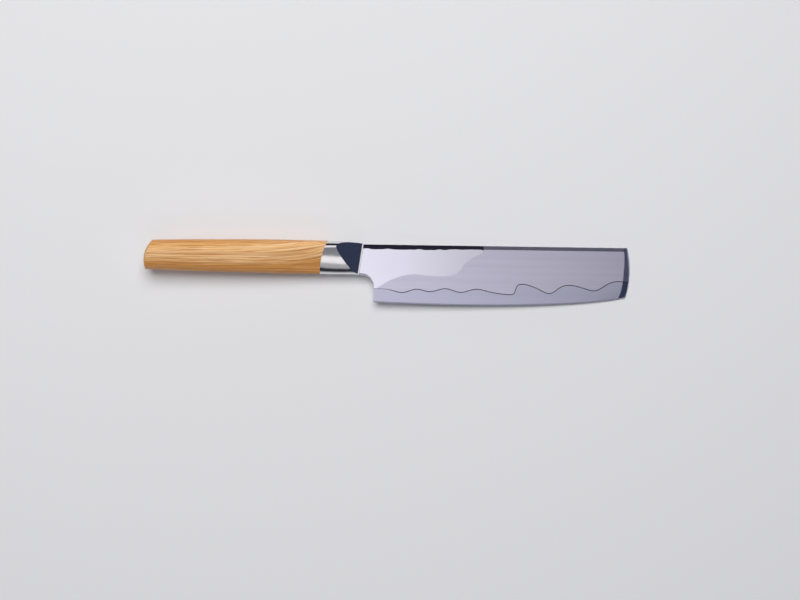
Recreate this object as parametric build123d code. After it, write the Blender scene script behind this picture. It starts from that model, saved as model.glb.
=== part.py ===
from build123d import *
from math import cos, radians, sin, tan
import os

# A Japanese-style vegetable knife. While it is built, X runs from the handle to the front of the
# blade with zero at the heel, Y runs towards the spine with zero on the spine, and Z is square to
# the blade with zero at its mid-plane. At the end the whole knife is moved so that its origin is
# at the middle of its bounding box, on the lowest plane.

# Blade
blade_length = 165.0
blade_height = 38.4
blade_thickness = 2.0
edge_length_shares = (0.0, 0.33, 0.65, 0.81, 0.91, 0.985)
edge_depth_shares = (0.971, 1.0, 0.976, 0.936, 0.893, 0.841)
front_length_shares = (0.990, 1.0, 0.985)
front_depth_shares = (0.0, 0.44, 0.841)
front_corner_radius = 1.9

# Grinds on the blade, the same on both sides
spine_bevel_width = 2.35
spine_land = 0.4
grind_line_depth_heel = 19.8
grind_line_depth_front = 21.4
edge_shoulder_thickness = 0.36
edge_bevel_width = 0.8
edge_land = 0.06
front_bevel_width_top = 2.3
front_bevel_width_bottom = 4.4
front_land = 0.12
front_bevel_growth = 0.75
front_section_shares = (0.0, 0.2, 0.4, 0.6, 0.8, 1.0)
grind_steps = 12

# Neck, between the heel and the bolster
neck_height = 19.9
choil_length = 8.5
choil_drop = 7.0
underside_rounding = 2.0
rounding_shares = ((0.0, 0.0), (0.26, 0.034), (0.5, 0.134), (0.707, 0.293), (0.866, 0.5), (1.0, 1.0))
stub_thickness = 1.8
stub_height = 11.5
stub_length = 12.0
stub_depth = 4.0

# Wavy joint between the softer spine steel and the harder edge steel
seam_width = 0.5
wave_shares = (
    (-0.040, 0.738), (0.0, 0.741), (0.069, 0.763), (0.114, 0.800), (0.167, 0.741), (0.219, 0.780),
    (0.281, 0.726), (0.339, 0.784), (0.400, 0.728), (0.445, 0.761), (0.492, 0.798), (0.527, 0.811),
    (0.549, 0.792), (0.557, 0.700), (0.568, 0.643), (0.588, 0.635), (0.621, 0.671), (0.645, 0.713),
    (0.672, 0.770), (0.692, 0.781), (0.712, 0.735), (0.739, 0.660), (0.768, 0.640), (0.821, 0.687),
    (0.871, 0.721), (0.903, 0.645), (0.938, 0.575), (0.980, 0.570), (1.040, 0.570),
)
wave_steps = 120

# Handle and bolster share one outer shape, made of egg sections square to X. Each row gives the
# section's distance behind the heel, its rise above and drop below the handle axis, its half
# thickness, how far down its widest place lies, and how full its crown, flanks and keel are.
handle_length = 149.0
handle_height = 21.9
handle_thickness = 17.7
handle_axis_depth = 8.6
egg_shares = (
    (1.208, 0.420, 0.405, 0.405, 0.40, 0.55, 0.50, 0.52),
    (1.043, 0.440, 0.427, 0.432, 0.40, 0.55, 0.50, 0.52),
    (0.879, 0.459, 0.446, 0.458, 0.39, 0.56, 0.49, 0.52),
    (0.718, 0.483, 0.470, 0.478, 0.38, 0.57, 0.48, 0.51),
    (0.570, 0.496, 0.485, 0.492, 0.36, 0.59, 0.45, 0.49),
    (0.436, 0.502, 0.496, 0.500, 0.31, 0.63, 0.38, 0.43),
    (0.315, 0.493, 0.494, 0.500, 0.24, 0.68, 0.28, 0.36),
    (0.208, 0.486, 0.498, 0.495, 0.18, 0.72, 0.18, 0.30),
    (0.114, 0.463, 0.499, 0.478, 0.16, 0.72, 0.19, 0.33),
    (0.034, 0.397, 0.520, 0.440, 0.16, 0.72, 0.24, 0.42),
)
butt_radius = 17.0
butt_centre_depth = 11.6
butt_edge_radius = 1.0

# Joint between handle and bolster, an arc seen from the side of the blade
joint_radius = 44.6
joint_back = 35.0
joint_centre_depth = 18.9

# Scoops ground into the bolster, one on each side
scoop_foot = 8.3
scoop_slant = 7.8
scoop_rise = 25.5
scoop_strip = 1.3
scoop_fillet = 4.0
bolster_step = 0.15

# Tang and its bedding
tang_thickness = 3.0
tang_height_front = 9.0
tang_height_back = 6.5
tang_back = 130.0
tang_depth = 9.5
bedding_gap = 0.6

# How far a cutting shape runs past what it cuts
overrun = 6.0

half_blade = blade_thickness / 2
half_shoulder = edge_shoulder_thickness / 2
slant = Vector(-sin(radians(scoop_slant)), -cos(radians(scoop_slant)), 0)
forward = Vector(cos(radians(scoop_slant)), -sin(radians(scoop_slant)), 0)


def both_sides(shape):
    """The shape together with its mirror image in the blade's mid-plane."""
    return shape + mirror(shape, Plane.XY)


def prism(points, low, high):
    """A flat outline of (x, y) points, raised between two heights."""
    face = Face(Wire.make_polygon([(x, y, low) for x, y in points], close=True))
    return extrude(face, amount=high - low, dir=(0, 0, 1))


def edge_points():
    """Places along the cutting edge, from the heel to the front corner."""
    lengths = [blade_length * share for share in edge_length_shares]
    depths = [blade_height * share for share in edge_depth_shares]
    return [(length, -depth) for length, depth in zip(lengths, depths)]


def front_points():
    """Three places on the front of the blade, from the spine down to the corner."""
    lengths = [blade_length * share for share in front_length_shares]
    depths = [blade_height * share for share in front_depth_shares]
    return [(length, -depth) for length, depth in zip(lengths, depths)]


def scoop_line(depth, offset):
    """The (x, y) place at a depth below the spine, on a line parallel to the scoop's foot."""
    start = Vector(-scoop_foot, 0, 0) + forward * offset
    place = start + slant * ((depth + start.Y) / cos(radians(scoop_slant)))
    return place.X, place.Y


def blank_wire(height, inset):
    """Outline of the blade at one height, with the neck's underside drawn in by the inset."""
    top_back = scoop_line(0, scoop_strip)
    low_back = scoop_line(neck_height - inset, scoop_strip)
    low_front = (-choil_length, -(neck_height - inset))
    heel_top = (0, -(neck_height + choil_drop))
    choil = EllipticalCenterArc(
        (-choil_length, heel_top[1]), choil_length, choil_drop + inset, start_angle=0, arc_size=90
    )
    edges = [
        Edge.make_line(low_back, top_back),
        Edge.make_line(top_back, front_points()[0]),
        Edge.make_three_point_arc(*front_points()),
        Edge.make_spline([(x, y, 0) for x, y in reversed(edge_points())]),
        Edge.make_line(edge_points()[0], heel_top),
        choil.edge(),
        Edge.make_line(low_front, low_back),
    ]
    wire = Wire(edges)
    corner = wire.vertices().sort_by_distance((*edge_points()[-1], 0))[0]
    return wire.fillet_2d(front_corner_radius, [corner]).moved(Location((0, 0, height)))


def blade_blank():
    """The blade before grinding: a plate whose neck has a rounded underside."""
    wires = []
    for height_share, inset_share in rounding_shares:
        wires.append(blank_wire(half_blade * height_share, underside_rounding * inset_share))
    return both_sides(Solid.make_loft(wires, ruled=True))


def grind_depth(x):
    """Depth of the grind line below the spine, at a distance from the heel."""
    along = x / blade_length
    return grind_line_depth_heel + (grind_line_depth_front - grind_line_depth_heel) * along


def grind_places():
    """Places spaced evenly along the cutting edge, with one more beyond each of its ends."""
    edge = Edge.make_spline([(x, y, 0) for x, y in edge_points()])
    places = [edge @ (step / grind_steps) for step in range(grind_steps + 1)]
    before = places[0] + (places[0] - places[1])
    after = places[-1] + (places[-1] - places[-2])
    return [before, *places, after]


def grind_tool():
    """What is ground off one side of the lower blade, down to the cutting edge."""
    sections = []
    for place in grind_places():
        x, edge_y = place.X, place.Y
        corners = [
            (x, -grind_depth(x), half_blade),
            (x, edge_y + edge_bevel_width, half_shoulder),
            (x, edge_y, edge_land / 2),
            (x, edge_y - overrun, edge_land / 2),
            (x, edge_y - overrun, half_blade + overrun),
            (x, -grind_depth(x), half_blade + overrun),
        ]
        sections.append(Wire.make_polygon(corners, close=True))
    return Solid.make_loft(sections)


def spine_tool():
    """What is ground off one side of the spine."""
    start = -neck_height
    corners = [
        (start, -spine_bevel_width, half_blade),
        (start, 0, spine_land / 2),
        (start, overrun, spine_land / 2),
        (start, overrun, half_blade + overrun),
        (start, -spine_bevel_width, half_blade + overrun),
    ]
    section = Face(Wire.make_polygon(corners, close=True))
    return extrude(section, amount=neck_height + blade_length + overrun, dir=(1, 0, 0))


def grind_height(x, y):
    """Half thickness left by the lower grind near the front, between grind line and shoulder."""
    top = grind_depth(x)
    bottom = -front_points()[-1][1] - edge_bevel_width
    along = min(max((-y - top) / (bottom - top), 0), 1)
    return half_blade - (half_blade - half_shoulder) * along


def front_tool():
    """What is ground off one side of the front, between the flat and the front edge."""
    arc = Edge.make_three_point_arc(*front_points())
    above = arc @ 0 + Vector(0, overrun, 0)
    below = arc @ 1 - Vector(0, overrun, 0)
    places = [above, *(arc @ share for share in front_section_shares), below]
    length = arc.length
    sections = []
    for place in places:
        along = min(max((above.Y - overrun - place.Y) / length, 0), 1) ** front_bevel_growth
        width = front_bevel_width_top + (front_bevel_width_bottom - front_bevel_width_top) * along
        inner = place.X - width
        height = grind_height(inner, place.Y)
        outer = place.X + overrun
        corners = [
            (inner, place.Y, height),
            (place.X, place.Y, front_land / 2),
            (outer, place.Y, front_land / 2),
            (outer, place.Y, half_blade + overrun),
            (inner, place.Y, half_blade + overrun),
        ]
        sections.append(Wire.make_polygon(corners, close=True))
    return Solid.make_loft(sections)


def ground(blank):
    """A part of the blank after all the grinds."""
    for tool in (grind_tool(), spine_tool(), front_tool()):
        blank -= both_sides(tool)
    return blank


def wave_line(offset):
    """A curve at an even distance from the middle of the wavy joint."""
    middle = Edge.make_spline(
        [(blade_length * along, -blade_height * down, 0) for along, down in wave_shares]
    )
    points = []
    for step in range(wave_steps + 1):
        share = step / wave_steps
        direction = middle % share
        points.append(middle @ share + Vector(-direction.Y, direction.X, 0) * offset)
    return Edge.make_spline(points)


def wave_region(top_edge, bottom_edge):
    """A block through the blade's thickness between two curves that run along it."""
    left = Edge.make_line(bottom_edge @ 0, top_edge @ 0)
    right = Edge.make_line(top_edge @ 1, bottom_edge @ 1)
    face = Face(Wire([left, top_edge, right, bottom_edge]))
    return extrude(face, amount=blade_thickness + overrun, dir=(0, 0, 1), both=True)


def stub():
    """The narrow part of the neck that reaches back inside the bolster."""
    top, bottom = stub_depth, stub_depth + stub_height
    back = -(scoop_foot + stub_length)
    points = [scoop_line(top, scoop_strip), scoop_line(bottom, scoop_strip), (back, -bottom), (back, -top)]
    return prism(points, -stub_thickness / 2, stub_thickness / 2)


def egg_face(row):
    """One egg-shaped section of the handle, with its blunt end towards the spine."""
    back_share, above_share, below_share, half_share, widest_share, *fullness_shares = row
    crown_share, flank_share, keel_share = fullness_shares
    x = -handle_length * back_share
    half = handle_thickness * half_share
    top = -handle_axis_depth + handle_height * above_share
    bottom = -handle_axis_depth - handle_height * below_share
    widest = top - (top - bottom) * widest_share
    rise, drop = (top - widest) * crown_share, (widest - bottom) * flank_share
    edges = []
    for side in (half, -half):
        upper = [(top, 0), (top, side * crown_share), (widest + rise, side), (widest, side)]
        lower = [(widest, side), (widest - drop, side), (bottom, side * keel_share), (bottom, 0)]
        for quarter in (upper, lower):
            edges.append(Edge.make_bezier(*((x, y, z) for y, z in quarter)))
    return Face(Wire(edges))


def handle_shape():
    """The outer shape shared by the handle and the bolster."""
    return loft([egg_face(row) for row in egg_shares])


def joint_drum():
    """The drum whose round wall is the joint between handle and bolster."""
    centre = (-joint_back + joint_radius, -joint_centre_depth, 0)
    return Location(centre) * Cylinder(joint_radius, 2 * handle_thickness)


def butt_tool():
    """What is turned off the end of the handle to leave its dome."""
    centre_x = -handle_length + butt_radius
    block_length = handle_length
    block = Location((centre_x - block_length / 2, -butt_centre_depth, 0)) * Box(
        block_length, 2 * handle_height, 2 * handle_thickness
    )
    return block - Location((centre_x, -butt_centre_depth, 0)) * Sphere(butt_radius)


def scoop_tool():
    """What is ground off one side of the bolster."""
    foot = half_blade + bolster_step
    plane = Plane(origin=(-scoop_foot, 0, foot), x_dir=-forward, z_dir=-slant)
    rise = handle_height * tan(radians(scoop_rise))
    front = -scoop_strip - overrun
    corners = [(front, 0), (0, 0), (handle_height, rise), (front, rise)]
    wire = Wire.make_polygon([plane.from_local_coords(corner) for corner in corners], close=True)
    bend = wire.vertices().sort_by_distance(plane.origin)[0]
    face = Face(wire.fillet_2d(scoop_fillet, [bend]))
    return extrude(face.moved(Location(-slant * overrun)), amount=handle_height + 2 * overrun, dir=slant)


def front_block():
    """All that lies in front of the line where bolster and blade meet."""
    low = neck_height + overrun
    points = [
        scoop_line(-overrun, scoop_strip),
        scoop_line(low, scoop_strip),
        (blade_length, -low),
        (blade_length, overrun),
    ]
    return prism(points, -handle_thickness, handle_thickness)


def tang_block(gap):
    """The tapered bar of the tang, grown on every side but the front by a gap."""
    front = -(scoop_foot + stub_length)
    back = -tang_back - gap
    front_half = tang_height_front / 2 + gap
    back_half = tang_height_back / 2 + gap
    points = [
        (front, -tang_depth + front_half),
        (front, -tang_depth - front_half),
        (back, -tang_depth - back_half),
        (back, -tang_depth + back_half),
    ]
    half = tang_thickness / 2 + gap
    return prism(points, -half, half)


def handle_grip(shape, drum, room):
    """The wooden handle: hollowed for the tang, with a dome and a softened rim at its butt."""
    grip = shape - drum - room - butt_tool()
    rim_x = -handle_length + butt_radius
    dome = grip.faces().filter_by(GeomType.SPHERE)[0]
    rim = [edge for edge in dome.edges() if edge.center().X < rim_x]
    return fillet(rim, butt_edge_radius)


def build_pieces():
    """Every piece of the knife by name, in the place that it has on the finished knife."""
    blank = blade_blank()
    above = wave_line(seam_width / 2)
    below = wave_line(-seam_width / 2)
    reach = Vector(0, blade_height, 0)
    bottom = Edge.make_line(below @ 0 - reach, below @ 1 - reach)
    drum = joint_drum()
    shape = handle_shape()
    tang = tang_block(0)
    room = tang_block(bedding_gap)
    return {
        "blade_body": ground(blank - wave_region(above, bottom)) + stub(),
        "cutting_edge": ground(blank & wave_region(below, bottom)),
        "braze_seam": ground(blank & wave_region(above, below)),
        "bolster": (shape & drum) - both_sides(scoop_tool()) - front_block() - stub() - tang,
        "tang": tang,
        "tang_bedding": room - drum - tang,
        "handle_grip": handle_grip(shape, drum, room),
    }


def main():
    """Builds the knife, puts its origin in place and writes one file for each piece."""
    pieces = build_pieces()
    box = Compound(list(pieces.values())).bounding_box()
    middle = box.center()
    place = Location((-middle.X, -middle.Y, -box.min.Z))
    os.makedirs("parts", exist_ok=True)
    for name, piece in pieces.items():
        moved = piece.moved(place)
        moved.label = name
        export_step(moved, f"parts/{name}.step")
        print(name, round(moved.volume, 1), "mm3")
    print("size", [round(length, 2) for length in box.size])
    print("origin from the heel", [round(length, 3) for length in (middle.X, middle.Y, box.min.Z)])


if __name__ == "__main__":
    main()
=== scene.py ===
"""The looks of a Japanese-style vegetable knife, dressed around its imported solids.

The knife lies as the frame holds it: X from the butt of the handle to the front of the blade, Y from
the cutting edge to the spine, Z square to the blade. The frame is in metres. The finishes measure in
millimetres: along from the heel, down from the spine, and up from the blade's mid-plane.
"""

import logging
import math
from dataclasses import dataclass
from enum import Enum
from typing import Iterable, Protocol, Sequence, Union

import bmesh
import bpy
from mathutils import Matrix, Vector


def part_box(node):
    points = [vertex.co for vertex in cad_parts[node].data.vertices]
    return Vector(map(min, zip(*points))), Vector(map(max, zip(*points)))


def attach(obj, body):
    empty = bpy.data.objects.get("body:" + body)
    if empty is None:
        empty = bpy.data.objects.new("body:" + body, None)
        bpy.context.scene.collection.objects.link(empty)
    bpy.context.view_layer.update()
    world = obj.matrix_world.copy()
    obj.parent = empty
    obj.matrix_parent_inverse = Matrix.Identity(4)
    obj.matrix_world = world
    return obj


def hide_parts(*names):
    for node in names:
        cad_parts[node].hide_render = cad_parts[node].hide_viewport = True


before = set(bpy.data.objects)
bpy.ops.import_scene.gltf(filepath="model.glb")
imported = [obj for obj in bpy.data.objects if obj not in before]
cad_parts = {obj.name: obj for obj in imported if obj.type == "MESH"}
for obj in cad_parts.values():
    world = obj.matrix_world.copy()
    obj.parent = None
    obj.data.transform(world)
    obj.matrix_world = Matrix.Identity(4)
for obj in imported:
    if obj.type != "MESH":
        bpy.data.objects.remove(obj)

LOG = logging.getLogger("knife")
MILLIMETRE = 0.001
BODY = "root"

Colour = tuple[float, float, float]
Span = tuple[float, float]
Socket = bpy.types.NodeSocket
Value = Union[float, Socket]
Paint = Union[Colour, Socket]
Input = Union[float, Colour, Socket]


def shaded(colour: Colour, share: float) -> Colour:
    """A colour made darker or lighter by a share."""
    red, green, blue = colour
    return (min(red * share, 1.0), min(green * share, 1.0), min(blue * share, 1.0))


def tangent(angle: float) -> float:
    """The tangent of an angle in degrees."""
    return math.tan(math.radians(angle))


class Grain(Enum):
    """Directions in which a finish can run, as stretches of a pattern along X, Y and Z."""

    ALONG = (0.012, 1.0, 1.0)
    FIBRE = (0.022, 1.0, 1.0)
    ROUND = (1.0, 0.08, 0.08)
    EVEN = (1.0, 1.0, 1.0)


class Mixed(Enum):
    """What a mix node mixes, with the places of its two inputs and its result among the sockets."""

    NUMBER = ("FLOAT", 2, 3, 0)
    COLOUR = ("RGBA", 6, 7, 2)


@dataclass(frozen=True)
class Pattern:
    """A noise that a finish is drawn with.

    The pitch is its size across the grain in millimetres, the detail its number of finer layers, and
    the shift moves it, so that two patterns don't match.
    """

    pitch: float
    grain: Grain
    detail: float = 3.0
    shift: float = 0.0


@dataclass(frozen=True)
class Datum:
    """The places that every sub-assembly measures from, read from the frame."""

    heel: float
    spine: float
    middle: float

    @staticmethod
    def read() -> "Datum":
        """Reads the heel, the spine and the mid-plane from the blade's nodes.

        Returns:
            The datum, in metres.
        """
        edge_low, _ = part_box("cutting_edge")
        blade_low, blade_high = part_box("blade_body")
        return Datum(edge_low.x, blade_high.y, (blade_low.z + blade_high.z) / 2)

    def place(self, along: float, down: float, up: float = 0.0) -> Vector:
        """Gives a place in metres.

        Args:
            along: millimetres in front of the heel.
            down: millimetres below the spine.
            up: millimetres above the blade's mid-plane.

        Returns:
            The place in the frame.
        """
        offset = Vector((along, -down, up)) * MILLIMETRE
        return Vector((self.heel, self.spine, self.middle)) + offset


class Nodes:
    """A tree of shader nodes, with one short call for each kind of node."""

    def __init__(self, tree: bpy.types.NodeTree) -> None:
        """Takes the tree that is added to."""
        self.tree = tree

    def add(self, kind: str) -> bpy.types.Node:
        """Adds a node of one kind."""
        return self.tree.nodes.new(kind)

    def feed(self, socket: Socket, value: Input) -> None:
        """Feeds a socket.

        Args:
            socket: the socket that is fed.
            value: a socket to link to it, or a colour or number to set it to.
        """
        if isinstance(value, bpy.types.NodeSocket):
            self.tree.links.new(value, socket)
        elif isinstance(value, tuple):
            socket.default_value = (*value, 1.0)
        else:
            socket.default_value = value

    def axes(self, place: Socket) -> tuple[Socket, ...]:
        """Splits a place.

        Args:
            place: the place's socket.

        Returns:
            The sockets of its X, Y and Z.
        """
        split = self.add("ShaderNodeSeparateXYZ")
        self.feed(split.inputs["Vector"], place)
        return tuple(split.outputs)

    def math(self, kind: str, first: Value, second: Value = 0.0, clamp: bool = False) -> Socket:
        """Works out one sum.

        Args:
            kind: the operation.
            first: its first value.
            second: its second value.
            clamp: whether the result is kept from zero to one.

        Returns:
            The result's socket.
        """
        node = self.add("ShaderNodeMath")
        node.operation = kind
        node.use_clamp = clamp
        self.feed(node.inputs[0], first)
        self.feed(node.inputs[1], second)
        return node.outputs[0]

    def span(self, value: Value, start: float, end: float, kind: str = "SMOOTHSTEP") -> Socket:
        """Ramps from zero at a start to one at an end, which may be the lower of the two.

        Args:
            value: where the ramp is read.
            start: the value where it leaves zero.
            end: the value where it reaches one.
            kind: the ramp's shape.

        Returns:
            The ramp's socket.
        """
        node = self.add("ShaderNodeMapRange")
        node.interpolation_type = kind
        self.feed(node.inputs["Value"], value)
        self.feed(node.inputs["From Min"], start)
        self.feed(node.inputs["From Max"], end)
        return node.outputs["Result"]

    def mix(self, kind: Mixed, share: Value, first: Input, second: Input) -> Socket:
        """Mixes two inputs.

        Args:
            kind: what the inputs are.
            share: the second input's share.
            first: the first input.
            second: the second input.

        Returns:
            The mixture's socket.
        """
        node = self.add("ShaderNodeMix")
        node.data_type, first_place, second_place, result_place = kind.value
        self.feed(node.inputs[0], share)
        self.feed(node.inputs[first_place], first)
        self.feed(node.inputs[second_place], second)
        return node.outputs[result_place]

    def blend(self, share: Value, first: Value, second: Value) -> Socket:
        """Mixes two numbers."""
        return self.mix(Mixed.NUMBER, share, first, second)

    def tint(self, share: Value, first: Paint, second: Paint) -> Socket:
        """Mixes two colours."""
        return self.mix(Mixed.COLOUR, share, first, second)

    def curve(self, value: Value, points: Sequence[Span]) -> Socket:
        """Reads a smooth curve.

        Args:
            value: where the curve is read.
            points: the curve's places and heights in millimetres, with no height below zero.

        Returns:
            The height's socket, in millimetres.
        """
        low, high = points[0][0], points[-1][0]
        reach = max(height for _, height in points)
        share = self.math("DIVIDE", self.math("SUBTRACT", value, low), high - low, clamp=True)
        node = self.add("ShaderNodeFloatCurve")
        line = node.mapping.curves[0]
        spots = [((place - low) / (high - low), height / reach) for place, height in points]
        line.points[0].location, line.points[1].location = spots[0], spots[-1]
        for spot in spots[1:-1]:
            line.points.new(*spot)
        node.mapping.update()
        self.feed(node.inputs["Value"], share)
        return self.math("MULTIPLY", node.outputs["Value"], reach)


class Canvas(Nodes):
    """A material's surface, whose place is known in the finishes' millimetres."""

    def __init__(self, name: str, datum: Datum) -> None:
        """Starts an empty surface.

        Args:
            name: the material's name.
            datum: where the surface measures from.
        """
        self.material = bpy.data.materials.new(name)
        self.material.use_nodes = True
        super().__init__(self.material.node_tree)
        self.tree.nodes.clear()
        self.shader = self.add("ShaderNodeBsdfPrincipled")
        output = self.add("ShaderNodeOutputMaterial")
        self.feed(output.inputs["Surface"], self.shader.outputs["BSDF"])
        coordinates = self.add("ShaderNodeTexCoord")
        mapping = self.add("ShaderNodeMapping")
        scale = 1 / MILLIMETRE
        mapping.inputs["Location"].default_value = -datum.place(0, 0) * scale
        mapping.inputs["Scale"].default_value = (scale, scale, scale)
        self.feed(mapping.inputs["Vector"], coordinates.outputs["Object"])
        self.place = mapping.outputs["Vector"]
        self.along, height, self.up = self.axes(self.place)
        self.down = self.math("MULTIPLY", height, -1.0)

    def noise(self, pattern: Pattern) -> Socket:
        """Adds a noise.

        Args:
            pattern: the noise's pattern.

        Returns:
            The noise's socket, around a half.
        """
        mapping = self.add("ShaderNodeMapping")
        mapping.inputs["Location"].default_value = (pattern.shift, pattern.shift, pattern.shift)
        mapping.inputs["Scale"].default_value = [part / pattern.pitch for part in pattern.grain.value]
        self.feed(mapping.inputs["Vector"], self.place)
        node = self.add("ShaderNodeTexNoise")
        self.feed(node.inputs["Scale"], 1.0)
        self.feed(node.inputs["Detail"], pattern.detail)
        self.feed(node.inputs["Vector"], mapping.outputs["Vector"])
        return node.outputs["Fac"]

    def vary(self, share: Value, colour: Colour, shades: Span) -> Socket:
        """Varies a colour between two shades of itself."""
        return self.tint(share, shaded(colour, shades[0]), shaded(colour, shades[1]))

    def spread(self, share: Value, middle: float, shares: Span) -> Socket:
        """Varies a number between two shares of itself."""
        return self.blend(share, middle * shares[0], middle * shares[1])

    def surface(self, colour: Paint, rough: Value, metal: Value) -> None:
        """Sets what the surface is made of.

        Args:
            colour: its colour.
            rough: its roughness.
            metal: how metallic it is.
        """
        self.feed(self.shader.inputs["Base Color"], colour)
        self.feed(self.shader.inputs["Roughness"], rough)
        self.feed(self.shader.inputs["Metallic"], metal)

    def relief(self, height: Value, depth: float, strength: Value = 1.0) -> None:
        """Raises the surface.

        Args:
            height: the height, in shares of the depth.
            depth: the relief's depth, in millimetres.
            strength: how strongly the relief shows.
        """
        node = self.add("ShaderNodeBump")
        self.feed(node.inputs["Strength"], strength)
        self.feed(node.inputs["Distance"], depth * MILLIMETRE)
        self.feed(node.inputs["Height"], height)
        self.feed(self.shader.inputs["Normal"], node.outputs["Normal"])


class Finish(Protocol):
    """Whatever can dress a piece."""

    def material(self, datum: Datum) -> bpy.types.Material:
        """Makes the finish's material."""


@dataclass(frozen=True)
class FrontRim:
    """The narrow, blunted rim round the front of the blade, where the steel is left matt.

    The line gives how far past the base the front reaches, at places down from the spine. The scale
    is the share of the rim that isn't bare metal.
    """

    base: float = 150.0
    line: tuple[Span, ...] = (
        (0.0, 13.35), (8.0, 14.4), (16.9, 15.0), (25.0, 14.35), (30.0, 13.25),
        (31.2, 12.6), (32.0, 11.2), (32.5, 9.0), (33.0, 7.0), (34.0, 5.0),
    )
    width: float = 0.6
    rough: float = 0.7
    scale: float = 0.17

    def dress(self, canvas: Canvas, colour: Paint, rough: Value) -> None:
        """Sets a steel surface that turns matt on the rim.

        Args:
            canvas: the steel's surface.
            colour: the steel's colour.
            rough: its roughness away from the rim.
        """
        line = canvas.curve(canvas.down, self.line)
        beyond = canvas.math("SUBTRACT", canvas.math("SUBTRACT", canvas.along, self.base), line)
        rim = canvas.span(beyond, -self.width, -self.width / 2)
        metal = canvas.blend(rim, 1.0, 1.0 - self.scale)
        canvas.surface(colour, canvas.blend(rim, rough, self.rough), metal)


@dataclass(frozen=True)
class BladeSteelFinish:
    """Spine steel: mirror-polished towards the handle, satin-brushed towards the front.

    The border gives how far down the polish reaches, at places along from the heel. At the top of the
    polish, the shoulder of the spine's bevel is worn in a wavy line.
    """

    polished: Colour = (0.80, 0.79, 0.89)
    polished_rough: float = 0.09
    polished_rough_shares: Span = (0.6, 1.5)
    polished_streak_shares: Span = (0.7, 1.3)
    polished_marks: float = 0.0002
    satin: Colour = (0.80, 0.775, 0.93)
    satin_shades: Span = (0.91, 1.08)
    satin_rough: float = 0.31
    satin_streak_shares: Span = (0.86, 1.14)
    satin_marks: float = 0.0008
    bevel_rough: float = 0.46
    bevel_ramp: Span = (2.5, 2.3)
    front_rough: float = 0.35
    front_ramp: Span = (161.0, 161.4)
    shoulder_depth: float = 2.35
    shoulder_blur: float = 0.1
    shoulder_sway: float = 0.75
    shoulder_sway_ramp: Span = (0.36, 0.64)
    shoulder_slope: float = 0.30
    joint_offset: float = 6.93
    joint_slant: float = 7.8
    joint_width: float = 0.35
    joint_shade: float = 0.45
    border: tuple[Span, ...] = (
        (-25.0, 29.0), (0.0, 28.9), (3.0, 27.3), (8.2, 24.1), (13.4, 21.7), (18.5, 19.9), (23.7, 18.9),
        (28.9, 18.8), (34.0, 19.5), (40.0, 19.8), (47.0, 19.6), (52.1, 18.2), (54.7, 16.7),
        (57.3, 13.1), (60.0, 10.1), (63.0, 8.0), (67.6, 5.6), (70.2, 3.2), (71.0, 0.0), (170.0, 0.0),
    )
    border_blur: float = 0.25
    border_end: Span = (71.2, 70.6)
    streaks: Pattern = Pattern(0.6, Grain.ALONG)
    bands: Pattern = Pattern(2.6, Grain.ALONG, 3.0, 7.0)
    smudge: Pattern = Pattern(14.0, Grain.EVEN, 2.0, 3.0)
    sway: Pattern = Pattern(10.0, Grain.EVEN, 1.0, 19.0)
    rim: FrontRim = FrontRim()

    def material(self, datum: Datum) -> bpy.types.Material:
        """Makes the finish, with its border between the polished and the brushed steel.

        Args:
            datum: where the finish measures from.

        Returns:
            The material.
        """
        canvas = Canvas("spine_steel", datum)
        behind = canvas.span(canvas.along, *self.border_end)
        gap = canvas.math("SUBTRACT", canvas.curve(canvas.along, self.border), canvas.down)
        polish = canvas.math("MULTIPLY", canvas.span(gap, -self.border_blur, self.border_blur), behind)
        streaks = canvas.noise(self.streaks)
        satin = canvas.vary(canvas.noise(self.bands), self.satin, self.satin_shades)
        polished = canvas.tint(self.joint(canvas), self.polished, shaded(self.polished, self.joint_shade))
        rough = canvas.blend(polish, self.brushed(canvas, streaks), self.cleared(canvas, streaks))
        self.rim.dress(canvas, canvas.tint(polish, satin, polished), rough)
        marks = canvas.blend(polish, self.satin_marks, self.polished_marks)
        marks = canvas.math("MULTIPLY", streaks, marks)
        worn = canvas.math("MULTIPLY", self.worn(canvas), behind)
        face = canvas.span(canvas.down, self.shoulder_depth - self.shoulder_blur, self.shoulder_depth)
        face = canvas.math("MAXIMUM", face, canvas.math("SUBTRACT", 1.0, behind))
        canvas.relief(canvas.math("SUBTRACT", marks, worn), 1.0, face)
        return canvas.material

    def joint(self, canvas: Canvas) -> Socket:
        """Finds the shaded line where the blade runs into the bolster.

        Args:
            canvas: the steel's surface.

        Returns:
            One at the bolster and zero in front of it.
        """
        slant = math.radians(self.joint_slant)
        front = canvas.math("MULTIPLY", canvas.along, math.cos(slant))
        front = canvas.math("ADD", front, canvas.math("MULTIPLY", canvas.down, math.sin(slant)))
        return canvas.span(front, -self.joint_offset + self.joint_width, -self.joint_offset)

    def brushed(self, canvas: Canvas, streaks: Socket) -> Socket:
        """Works out how rough the satin steel is.

        Args:
            canvas: the steel's surface.
            streaks: the brush's streaks.

        Returns:
            The roughness.
        """
        rough = canvas.blend(canvas.span(canvas.down, *self.bevel_ramp), self.satin_rough, self.bevel_rough)
        rough = canvas.blend(canvas.span(canvas.along, *self.front_ramp), rough, self.front_rough)
        return canvas.math("MULTIPLY", canvas.blend(streaks, *self.satin_streak_shares), rough)

    def cleared(self, canvas: Canvas, streaks: Socket) -> Socket:
        """Works out how rough the polished steel is.

        Args:
            canvas: the steel's surface.
            streaks: the brush's streaks, nearly polished away.

        Returns:
            The roughness.
        """
        smudge = canvas.noise(self.smudge)
        rough = canvas.spread(smudge, self.polished_rough, self.polished_rough_shares)
        return canvas.math("MULTIPLY", rough, canvas.blend(streaks, *self.polished_streak_shares))

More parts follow.
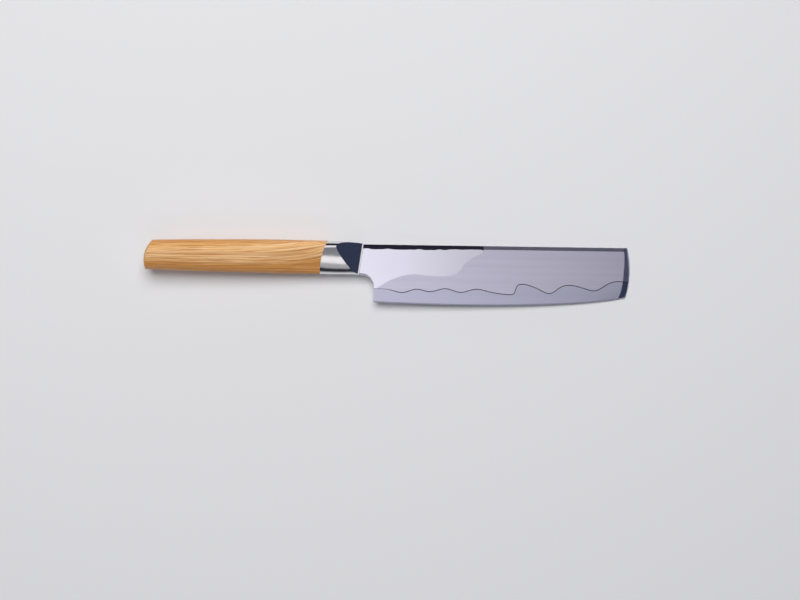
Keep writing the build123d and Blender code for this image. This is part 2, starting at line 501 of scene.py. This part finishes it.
    def worn(self, canvas: Canvas) -> Socket:
        """Works out how far the bevel's shoulder is worn down.

        Args:
            canvas: the steel's surface.

        Returns:
            The wear, in millimetres.
        """
        sway = canvas.span(canvas.noise(self.sway), *self.shoulder_sway_ramp)
        sway = canvas.math("MULTIPLY", sway, self.shoulder_sway)
        reach = canvas.math("SUBTRACT", canvas.math("ADD", sway, self.shoulder_depth), canvas.down)
        return canvas.math("MULTIPLY", canvas.math("MAXIMUM", reach, 0.0), self.shoulder_slope)


@dataclass(frozen=True)
class EdgeSteelFinish:
    """Edge steel: satin, brushed along the blade, with a polished bevel at the front.

    The bevel starts where the solid's does, further back the nearer it is to the cutting edge. The tilt
    is the slope by which it is shaded steeper than it is ground, so that it mirrors the dark room.
    """

    satin: Colour = (0.69, 0.69, 0.86)
    satin_shades: Span = (0.94, 1.08)
    satin_rough: float = 0.30
    satin_streak_shares: Span = (0.95, 1.05)
    satin_marks: float = 0.0004
    polished: Colour = (0.76, 0.77, 0.82)
    polished_rough: float = 0.10
    polished_marks: float = 0.0002
    bevel_start: float = 160.9
    bevel_depth: float = 21.9
    bevel_drop: float = 10.6
    bevel_draw: float = 3.0
    bevel_blur: float = 0.15
    bevel_tilt: float = 0.22
    streaks: Pattern = Pattern(0.8, Grain.ALONG, 2.0, 11.0)
    bands: Pattern = Pattern(2.6, Grain.ALONG, 2.0, 17.0)
    rim: FrontRim = FrontRim()

    def material(self, datum: Datum) -> bpy.types.Material:
        """Makes the finish, with its border at the front bevel.

        Args:
            datum: where the finish measures from.

        Returns:
            The material.
        """
        canvas = Canvas("edge_steel", datum)
        fall = canvas.math("SUBTRACT", canvas.down, self.bevel_depth)
        draw = canvas.math("POWER", canvas.math("DIVIDE", fall, self.bevel_drop), 2.0)
        draw = canvas.math("MULTIPLY", draw, self.bevel_draw)
        past = canvas.math("SUBTRACT", canvas.along, canvas.math("SUBTRACT", self.bevel_start, draw))
        bevel = canvas.span(past, -self.bevel_blur, self.bevel_blur)
        streaks = canvas.noise(self.streaks)
        satin = canvas.vary(canvas.noise(self.bands), self.satin, self.satin_shades)
        rough = canvas.spread(streaks, self.satin_rough, self.satin_streak_shares)
        rough = canvas.blend(bevel, rough, self.polished_rough)
        self.rim.dress(canvas, canvas.tint(bevel, satin, self.polished), rough)
        marks = canvas.blend(bevel, self.satin_marks, self.polished_marks)
        marks = canvas.math("MULTIPLY", streaks, marks)
        lean = canvas.math("MULTIPLY", canvas.math("MAXIMUM", past, 0.0), self.bevel_tilt)
        canvas.relief(canvas.math("SUBTRACT", marks, lean), 1.0)
        return canvas.material


@dataclass(frozen=True)
class SeamFinish:
    """The darkened line of filler, paler where it starts at the heel."""

    dark: Colour = (0.014, 0.012, 0.014)
    dark_shades: Span = (0.6, 1.5)
    pale: Colour = (0.34, 0.33, 0.37)
    fade: Span = (6.0, 15.0)
    rough: Span = (0.45, 0.65)
    shine: float = 0.3
    pit_depth: float = 0.02
    pit_strength: float = 0.5
    pits: Pattern = Pattern(0.5, Grain.EVEN, 4.0)

    def material(self, datum: Datum) -> bpy.types.Material:
        """Makes the finish.

        Args:
            datum: where the finish measures from.

        Returns:
            The material.
        """
        canvas = Canvas("braze_filler", datum)
        pits = canvas.noise(self.pits)
        dark = canvas.vary(pits, self.dark, self.dark_shades)
        colour = canvas.tint(canvas.span(canvas.along, *self.fade), self.pale, dark)
        canvas.surface(colour, canvas.blend(pits, *self.rough), 0.0)
        canvas.feed(canvas.shader.inputs["Specular IOR Level"], self.shine)
        canvas.relief(pits, self.pit_depth, self.pit_strength)
        return canvas.material


@dataclass(frozen=True)
class BolsterFinish:
    """Polished stainless steel with faint turning marks round the collar."""

    colour: Colour = (0.80, 0.80, 0.82)
    shades: Span = (0.95, 1.0)
    rough: float = 0.11
    rough_shares: Span = (0.7, 1.4)
    mark_depth: float = 0.003
    mark_strength: float = 0.15
    marks: Pattern = Pattern(0.22, Grain.ROUND, 5.0)
    smudge: Pattern = Pattern(5.0, Grain.EVEN, 3.0, 5.0)

    def material(self, datum: Datum) -> bpy.types.Material:
        """Makes the finish.

        Args:
            datum: where the finish measures from.

        Returns:
            The material.
        """
        canvas = Canvas("bolster_steel", datum)
        smudge = canvas.noise(self.smudge)
        rough = canvas.spread(smudge, self.rough, self.rough_shares)
        canvas.surface(canvas.vary(smudge, self.colour, self.shades), rough, 1.0)
        canvas.relief(canvas.noise(self.marks), self.mark_depth, self.mark_strength)
        return canvas.material


@dataclass(frozen=True)
class WoodFinish:
    """Pale laminated wood with a fine straight grain, sealed with resin.

    Each ramp gives the two strengths of a pattern between which it comes to show, and each share is
    how strongly its colour covers. The crown, far from the mid-plane, is painted paler as a painted sheen,
    and the flanks near the mid-plane are painted darker and more amber as painted shade. The sheen's ramp
    is in millimetres from the mid-plane, and the bend's start and fade are in millimetres along from the
    heel and down from the spine.
    """

    pale: Colour = (1.0, 0.74, 0.45)
    light: Colour = (0.96, 0.57, 0.22)
    middle: Colour = (0.80, 0.39, 0.105)
    # The painted shade's colour on the handle's flanks.
    amber_painted_shade: Colour = (0.53, 0.185, 0.008)
    dark: Colour = (0.42, 0.145, 0.020)
    # Painted sheen on the crown of the handle, and painted shade on its flanks.
    painted_sheen_ramp: Span = (4.8, 8.3)
    painted_sheen_share: float = 0.30
    painted_flank_shade_share: float = 0.58
    streak: Pattern = Pattern(0.75, Grain.FIBRE, 2.0, 67.0)
    streak_ramp: Span = (0.38, 0.62)
    glint: Pattern = Pattern(0.65, Grain.FIBRE, 1.0, 23.0)
    glint_ramp: Span = (0.50, 0.64)
    glint_share: float = 0.62
    patch: Pattern = Pattern(4.0, Grain.ALONG, 2.0, 53.0)
    patch_ramp: Span = (0.35, 0.70)
    patch_share: float = 0.25
    line: Pattern = Pattern(0.65, Grain.FIBRE, 1.0, 87.0)
    line_ramp: Span = (0.51, 0.66)
    line_share: float = 0.58
    fibre: Pattern = Pattern(0.30, Grain.FIBRE, 3.0, 5.0)
    fibre_ramp: Span = (0.50, 0.72)
    fibre_share: float = 0.25
    pore: Pattern = Pattern(0.40, Grain.FIBRE, 2.0, 41.0)
    pore_ramp: Span = (0.60, 0.70)
    pore_share: float = 0.25
    pore_height: float = 0.6
    ring_pitch: float = 1.5
    ring_lean: Span = (0.94, 0.34)
    ring_drift: Pattern = Pattern(9.0, Grain.ALONG, 2.0, 2.0)
    ring_drift_reach: float = 7.0
    ring_figure: Pattern = Pattern(2.2, Grain.ALONG, 2.0, 31.0)
    ring_figure_reach: float = 1.8
    ring_sharpness: float = 2.5
    ring_share: float = 0.42
    bend_start: float = -75.0
    bend: float = 0.0026
    bend_fade: Span = (19.0, 3.0)
    rough: Span = (0.50, 0.36)
    shine: float = 0.42
    resin: float = 0.12
    resin_rough: float = 0.32
    relief_depth: float = 0.02
    relief_strength: float = 0.5

    def material(self, datum: Datum) -> bpy.types.Material:
        """Makes the finish from growth rings, streaks, fibres and pores, bent near the bolster, with a
        painted sheen on the crown and painted shade on the flanks.

        Args:
            datum: where the finish measures from.

        Returns:
            The material.
        """
        canvas = Canvas("handle_wood", datum)
        self.bend_grain(canvas)
        fibre = canvas.noise(self.fibre)
        pore = canvas.span(canvas.noise(self.pore), *self.pore_ramp)
        # Painted sheen: the crown of the handle, far from the mid-plane, is made paler.
        face = canvas.span(canvas.math("ABSOLUTE", canvas.up), *self.painted_sheen_ramp)
        layers = (
            (face, self.painted_sheen_share, self.pale),
            (canvas.span(canvas.noise(self.glint), *self.glint_ramp), self.glint_share, self.pale),
            (canvas.span(canvas.noise(self.patch), *self.patch_ramp), self.patch_share, self.middle),
            # Painted shade: the flanks, near the mid-plane, are made darker and more amber.
            (canvas.math("SUBTRACT", 1.0, face), self.painted_flank_shade_share, self.amber_painted_shade),
            (self.rings(canvas), self.ring_share, self.dark),
            (canvas.span(canvas.noise(self.line), *self.line_ramp), self.line_share, self.dark),
            (canvas.span(fibre, *self.fibre_ramp), self.fibre_share, self.dark),
            (pore, self.pore_share, self.dark),
        )
        streak = canvas.span(canvas.noise(self.streak), *self.streak_ramp)
        wood = canvas.tint(streak, self.middle, self.light)
        for mask, share, colour in layers:
            wood = canvas.tint(canvas.math("MULTIPLY", mask, share), wood, colour)
        canvas.surface(wood, canvas.blend(fibre, *self.rough), 0.0)
        canvas.feed(canvas.shader.inputs["Specular IOR Level"], self.shine)
        canvas.feed(canvas.shader.inputs["Coat Weight"], self.resin)
        canvas.feed(canvas.shader.inputs["Coat Roughness"], self.resin_rough)
        height = canvas.math("SUBTRACT", fibre, canvas.math("MULTIPLY", pore, self.pore_height))
        canvas.relief(height, self.relief_depth, self.relief_strength)
        return canvas.material

    def bend_grain(self, canvas: Canvas) -> None:
        """Bends the grain upwards as it nears the bolster, most at the top of the handle.

        Args:
            canvas: the wood's surface, whose place is changed.
        """
        reach = canvas.math("MAXIMUM", canvas.math("SUBTRACT", canvas.along, self.bend_start), 0.0)
        rise = canvas.math("MULTIPLY", canvas.math("POWER", reach, 2.0), self.bend)
        rise = canvas.math("MULTIPLY", rise, canvas.span(canvas.down, *self.bend_fade))
        canvas.down = canvas.math("ADD", canvas.down, rise)
        bent = canvas.add("ShaderNodeCombineXYZ")
        for socket, part in zip(bent.inputs, (canvas.along, canvas.down, canvas.up)):
            canvas.feed(socket, part)
        canvas.place = bent.outputs["Vector"]

    def rings(self, canvas: Canvas) -> Socket:
        """Draws the growth rings, as leaning layers that drift along the handle.

        Args:
            canvas: the wood's surface.

        Returns:
            One at the darkest of a ring and zero between two.
        """
        lean_down, lean_up = self.ring_lean
        across = canvas.math("MULTIPLY", canvas.down, lean_down)
        across = canvas.math("ADD", across, canvas.math("MULTIPLY", canvas.up, lean_up))
        for pattern, reach in (
            (self.ring_drift, self.ring_drift_reach), (self.ring_figure, self.ring_figure_reach)
        ):
            across = canvas.math("ADD", across, canvas.math("MULTIPLY", canvas.noise(pattern), reach))
        turn = canvas.math("MULTIPLY", across, 2 * math.pi / self.ring_pitch)
        wave = canvas.math("ADD", canvas.math("MULTIPLY", canvas.math("SINE", turn), 0.5), 0.5)
        return canvas.math("POWER", wave, self.ring_sharpness)


@dataclass(frozen=True)
class HiddenFinish:
    """A plain worked surface for the pieces inside the handle."""

    name: str
    colour: Colour
    rough: float
    metal: float
    shades: Span = (0.8, 1.15)
    rough_shares: Span = (0.8, 1.0)
    scale_depth: float = 0.03
    scale_strength: float = 0.5
    scale: Pattern = Pattern(1.2, Grain.ALONG, 4.0)

    def material(self, datum: Datum) -> bpy.types.Material:
        """Makes the finish.

        Args:
            datum: where the finish measures from.

        Returns:
            The material.
        """
        canvas = Canvas(self.name, datum)
        scale = canvas.noise(self.scale)
        rough = canvas.spread(scale, self.rough, self.rough_shares)
        canvas.surface(canvas.vary(scale, self.colour, self.shades), rough, self.metal)
        canvas.relief(scale, self.scale_depth, self.scale_strength)
        return canvas.material


class Workshop:
    """Mesh work that every sub-assembly shares."""

    MERGE_REACH = 0.002
    SOFT_SEGMENTS = 2

    @staticmethod
    def alone(piece: bpy.types.Object) -> None:
        """Selects one object and no other.

        Args:
            piece: the object.
        """
        bpy.ops.object.select_all(action="DESELECT")
        piece.select_set(True)
        bpy.context.view_layer.objects.active = piece

    @staticmethod
    def copy_of(node: str, name: str) -> bpy.types.Object:
        """Copies a node's mesh into a new piece and merges its loose triangles.

        Args:
            node: the node's name in the frame.
            name: the new piece's name.

        Returns:
            The new piece, at the origin.
        """
        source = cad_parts[node]
        Workshop.alone(source)
        bpy.ops.object.duplicate()
        piece = bpy.context.active_object
        piece.name = name
        piece.data.name = name
        piece.parent = None
        for key in list(piece.keys()):
            del piece[key]
        if piece.data.has_custom_normals:
            bpy.ops.mesh.customdata_custom_splitnormals_clear()
        bpy.ops.object.mode_set(mode="EDIT")
        bpy.ops.mesh.select_all(action="SELECT")
        bpy.ops.mesh.remove_doubles(threshold=Workshop.MERGE_REACH * MILLIMETRE)
        bpy.ops.object.mode_set(mode="OBJECT")
        return piece

    @staticmethod
    def soften(piece: bpy.types.Object, width: float, angle: float) -> None:
        """Rounds a piece's sharp edges.

        Args:
            piece: the piece.
            width: how wide the rounding is, in millimetres.
            angle: the least angle that counts as sharp, in degrees.
        """
        Workshop.alone(piece)
        modifier = piece.modifiers.new("soften", "BEVEL")
        modifier.width = width * MILLIMETRE
        modifier.segments = Workshop.SOFT_SEGMENTS
        modifier.limit_method = "ANGLE"
        modifier.angle_limit = math.radians(angle)
        bpy.ops.object.modifier_apply(modifier=modifier.name)

    @staticmethod
    def smooth(piece: bpy.types.Object, angle: float, creases: Sequence[Span]) -> None:
        """Shades a piece smooth where its faces meet gently.

        Args:
            piece: the piece.
            angle: the least angle that stays sharp, in degrees.
            creases: ranges of smaller angles, in degrees, that stay sharp too.
        """
        Workshop.alone(piece)
        bpy.ops.object.shade_smooth_by_angle(angle=math.radians(angle))
        shape = bmesh.new()
        shape.from_mesh(piece.data)
        for edge in shape.edges:
            if len(edge.link_faces) == 2:
                meeting = math.degrees(edge.calc_face_angle())
                if any(least < meeting < most for least, most in creases):
                    edge.smooth = False
        shape.to_mesh(piece.data)
        shape.free()
        modifier = piece.modifiers.new("even", "WEIGHTED_NORMAL")
        modifier.mode = "FACE_AREA_WITH_ANGLE"
        modifier.keep_sharp = True
        bpy.ops.object.modifier_apply(modifier=modifier.name)

    @staticmethod
    def dress(piece: bpy.types.Object, material: bpy.types.Material) -> None:
        """Puts one material on all of a piece."""
        piece.data.materials.clear()
        piece.data.materials.append(material)


@dataclass(frozen=True)
class Piece:
    """A finished copy of one node, with its looks.

    The angles are in degrees, and the edge's width in millimetres. No width leaves the edges sharp.
    """

    node: str
    name: str
    slot: str
    finish: Finish
    smooth_angle: float = 30.0
    creases: tuple[Span, ...] = ()
    edge_width: float = 0.0
    edge_angle: float = 28.0

    def build(self, datum: Datum) -> bpy.types.Object:
        """Copies, softens, dresses and mounts the piece.

        Args:
            datum: where its finish measures from.

        Returns:
            The piece's object.
        """
        piece = Workshop.copy_of(self.node, self.name)
        if self.edge_width:
            Workshop.soften(piece, self.edge_width, self.edge_angle)
        Workshop.smooth(piece, self.smooth_angle, self.creases)
        Workshop.dress(piece, self.finish.material(datum))
        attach(piece, BODY)
        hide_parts(self.node)
        return piece


@dataclass(frozen=True)
class Blade:
    """The blade: two steels, parted by a wavy line of filler."""

    spine: Piece = Piece(
        "blade_body", "blade_spine_steel", "spine_steel", BladeSteelFinish(),
        smooth_angle=31.0, creases=((1.5, 6.0), (17.5, 24.0)),
    )
    edge: Piece = Piece(
        "cutting_edge", "blade_edge_steel", "edge_steel", EdgeSteelFinish(), smooth_angle=1.5
    )
    seam: Piece = Piece("braze_seam", "blade_seam", "braze_filler", SeamFinish(), smooth_angle=1.5)

    def build(self, datum: Datum) -> list[bpy.types.Object]:
        """Builds the three pieces of the blade."""
        return [self.spine.build(datum), self.edge.build(datum), self.seam.build(datum)]


@dataclass(frozen=True)
class Handle:
    """The handle: bolster, wooden grip, and the tang and resin inside."""

    bolster: Piece = Piece(
        "bolster", "bolster_collar", "bolster_steel", BolsterFinish(), smooth_angle=16.0, edge_width=0.12
    )
    grip: Piece = Piece("handle_grip", "wooden_grip", "handle_wood", WoodFinish())
    tang: HiddenFinish = HiddenFinish("tang_steel", (0.50, 0.49, 0.48), rough=0.5, metal=1.0)
    resin: HiddenFinish = HiddenFinish("bedding_epoxy", (0.62, 0.50, 0.28), rough=0.45, metal=0.0)

    def build(self, datum: Datum) -> list[bpy.types.Object]:
        """Builds the shown pieces and dresses the hidden ones.

        Args:
            datum: where the finishes measure from.

        Returns:
            The shown pieces.
        """
        Workshop.dress(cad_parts["tang"], self.tang.material(datum))
        Workshop.dress(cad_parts["tang_bedding"], self.resin.material(datum))
        return [self.bolster.build(datum), self.grip.build(datum)]


@dataclass(frozen=True)
class Lamp:
    """A soft rectangular lamp.

    Its place is given by two angles in degrees, from straight above towards the front and towards the
    spine, and by its distance in metres. Its width and height are in metres too, its strength is per
    area, and one that isn't mirrored shows in no metal.
    """

    name: str
    towards_front: float
    towards_spine: float
    distance: float
    width: float
    height: float
    strength: float
    colour: Colour = (1.0, 1.0, 1.0)
    mirrored: bool = True

    def build(self, centre: Vector) -> bpy.types.Object:
        """Adds the lamp.

        Args:
            centre: the place that it shines at.

        Returns:
            The lamp's object.
        """
        slope = Vector((tangent(self.towards_front), tangent(self.towards_spine), 1.0))
        place = centre + slope.normalized() * self.distance
        bpy.ops.object.light_add(type="AREA", location=place)
        lamp = bpy.context.active_object
        lamp.name = self.name
        lamp.rotation_euler = (centre - place).to_track_quat("-Z", "Y").to_euler()
        lamp.data.shape = "RECTANGLE"
        lamp.data.size = self.width
        lamp.data.size_y = self.height
        lamp.data.energy = self.strength * math.pi * self.width * self.height
        lamp.data.color = self.colour
        lamp.visible_camera = False
        lamp.visible_glossy = self.mirrored
        return lamp


@dataclass(frozen=True)
class Diffuser:
    """A bright sheet overhead, whose light fades towards the front of the knife.

    Its height is in metres. Its edges and its fade are given by the angles at which they are seen from
    the knife, in degrees from straight above.
    """

    height: float = 2.0
    back: float = -28.0
    front: float = 13.0
    side: float = 17.0
    fade_start: float = -1.5
    fade_end: float = 4.5
    faded: float = 0.64
    colour: Colour = (0.975, 0.965, 1.0)

    def build(self, centre: Vector) -> bpy.types.Object:
        """Adds the sheet.

        Args:
            centre: the place that it hangs above.

        Returns:
            The sheet's object.
        """
        back, front, side, start, end = (
            self.height * tangent(angle)
            for angle in (self.back, self.front, self.side, self.fade_start, self.fade_end)
        )
        middle = (back + front) / 2
        place = centre + Vector((middle, 0.0, self.height))
        bpy.ops.mesh.primitive_plane_add(size=1.0, location=place)
        sheet = bpy.context.active_object
        sheet.name = "overhead_diffuser"
        sheet.scale = (front - back, 2 * side, 1.0)
        bpy.ops.object.transform_apply(location=False, rotation=False, scale=True)
        sheet.data.materials.append(self.material(start - middle, end - middle))
        return sheet

    def material(self, start: float, end: float) -> bpy.types.Material:
        """Makes the sheet's light.

        Args:
            start: where it begins to fade, in metres from the sheet's middle.
            end: where it has faded.

        Returns:
            The material.
        """
        material = bpy.data.materials.new("overhead_light")
        material.use_nodes = True
        nodes = Nodes(material.node_tree)
        nodes.tree.nodes.clear()
        coordinates = nodes.add("ShaderNodeTexCoord")
        along, _, _ = nodes.axes(coordinates.outputs["Object"])
        glow = nodes.add("ShaderNodeEmission")
        output = nodes.add("ShaderNodeOutputMaterial")
        nodes.feed(glow.inputs["Color"], self.colour)
        nodes.feed(glow.inputs["Strength"], nodes.blend(nodes.span(along, start, end), 1.0, self.faded))
        nodes.feed(output.inputs["Surface"], glow.outputs["Emission"])
        return material


@dataclass(frozen=True)
class Table:
    """The pale table that the knife rests on.

    The frame holds the blade level, so the table leans instead: in degrees, it rises by one angle
    towards the front and by another towards the cutting edge. Its size is in metres.
    """

    lean_front: float = 2.291
    lean_edge: float = 0.737
    size: float = 12.0
    colour: Colour = (0.80, 0.80, 0.81)
    rough: float = 0.85

    def build(self) -> bpy.types.Object:
        """Adds the table under the knife, touching it at its lowest places.

        Returns:
            The table's object.
        """
        down = Vector((tangent(self.lean_front), -tangent(self.lean_edge), -1.0)).normalized()
        reach = max(down.dot(v.co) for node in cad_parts.values() for v in node.data.vertices)
        turn = Vector((0.0, 0.0, 1.0)).rotation_difference(-down).to_euler()
        bpy.ops.mesh.primitive_plane_add(size=self.size, location=down * reach, rotation=turn)
        table = bpy.context.active_object
        table.name = "table"
        material = bpy.data.materials.new("table_paper")
        material.use_nodes = True
        paper = Nodes(material.node_tree)
        shader = paper.tree.nodes["Principled BSDF"]
        paper.feed(shader.inputs["Base Color"], self.colour)
        paper.feed(shader.inputs["Roughness"], self.rough)
        table.data.materials.append(material)
        return table


@dataclass(frozen=True)
class Room:
    """A dim room with a pale horizon, bluish in front of the knife.

    The ramps are read on a unit direction: the horizon's on its height, and the front's on its reach
    towards the front of the knife.
    """

    horizon: Colour = (0.75, 0.76, 0.78)
    horizon_ramp: Span = (0.36, 0.05)
    front: Colour = (0.036, 0.046, 0.086)
    back: Colour = (0.020, 0.019, 0.030)
    front_ramp: Span = (0.25, 0.55)

    def build(self) -> None:
        """Sets the room round the scene."""
        world = bpy.data.worlds.new("room")
        bpy.context.scene.world = world
        world.use_nodes = True
        nodes = Nodes(world.node_tree)
        coordinates = nodes.add("ShaderNodeTexCoord")
        along, _, height = nodes.axes(coordinates.outputs["Generated"])
        walls = nodes.tint(nodes.span(along, *self.front_ramp), self.back, self.front)
        low = nodes.span(height, *self.horizon_ramp, kind="LINEAR")
        background = nodes.tree.nodes["Background"]
        nodes.feed(background.inputs["Color"], nodes.tint(low, walls, self.horizon))


@dataclass(frozen=True)
class Viewpoint:
    """The camera, straight above the knife and turned as the photograph is.

    The scale is in millimetres to a pixel, the width in pixels, the turn in degrees and the distance
    in metres. The centre is the place in the middle of the picture.
    """

    scale: float = 0.6458
    width: float = 800.0
    centre_along: float = 17.05
    centre_down: float = 35.6
    centre_up: float = 1.0
    turn: float = 0.83
    distance: float = 1.3
    sensor: float = 36.0

    def build(self, datum: Datum) -> bpy.types.Object:
        """Adds the camera.

        Args:
            datum: where the centre is measured from.

        Returns:
            The camera's object.
        """
        target = datum.place(self.centre_along, self.centre_down, self.centre_up)
        place = target + Vector((0.0, 0.0, self.distance))
        bpy.ops.object.camera_add(location=place, rotation=(0.0, 0.0, math.radians(self.turn)))
        camera = bpy.context.active_object
        camera.data.sensor_width = self.sensor
        camera.data.lens = self.sensor * self.distance / (self.scale * self.width * MILLIMETRE)
        bpy.context.scene.camera = camera
        return camera


@dataclass(frozen=True)
class Studio:
    """Everything round the knife, with the lights aimed at one place on it."""

    aim_along: float = 17.05
    aim_down: float = 17.8
    table: Table = Table()
    room: Room = Room()
    diffuser: Diffuser = Diffuser()
    lamps: tuple[Lamp, ...] = (
        Lamp(
            "spine_side_fill", towards_front=-8.0, towards_spine=26.0, distance=1.7,
            width=1.3, height=1.1, strength=5.75, mirrored=False,
        ),
        Lamp(
            "edge_side_grey", towards_front=0.0, towards_spine=-28.5, distance=1.75,
            width=1.5, height=0.66, strength=0.24, colour=(0.95, 0.97, 1.0),
        ),
        Lamp(
            "edge_side_strip", towards_front=0.0, towards_spine=-44.5, distance=1.7,
            width=1.5, height=0.25, strength=1.05, colour=(1.0, 0.98, 0.97),
        ),
        Lamp(
            "edge_side_card", towards_front=0.0, towards_spine=-53.5, distance=1.7,
            width=1.5, height=0.30, strength=0.42, colour=(1.0, 0.98, 0.97),
        ),
    )
    viewpoint: Viewpoint = Viewpoint()

    def build(self, datum: Datum) -> None:
        """Sets up the studio.

        Args:
            datum: where its places are measured from.
        """
        bpy.context.scene.view_settings.view_transform = "Standard"
        self.table.build()
        self.room.build()
        aim = datum.place(self.aim_along, self.aim_down)
        self.diffuser.build(aim)
        for lamp in self.lamps:
            lamp.build(aim)
        self.viewpoint.build(datum)


def main() -> None:
    """Builds the knife and the studio."""
    logging.basicConfig(level=logging.INFO)
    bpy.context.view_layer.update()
    datum = Datum.read()
    for assembly in (Blade(), Handle()):
        for piece in assembly.build(datum):
            LOG.info("%s: %d faces", piece.name, len(piece.data.polygons))
    Studio().build(datum)


if __name__ == "__main__":
    main()
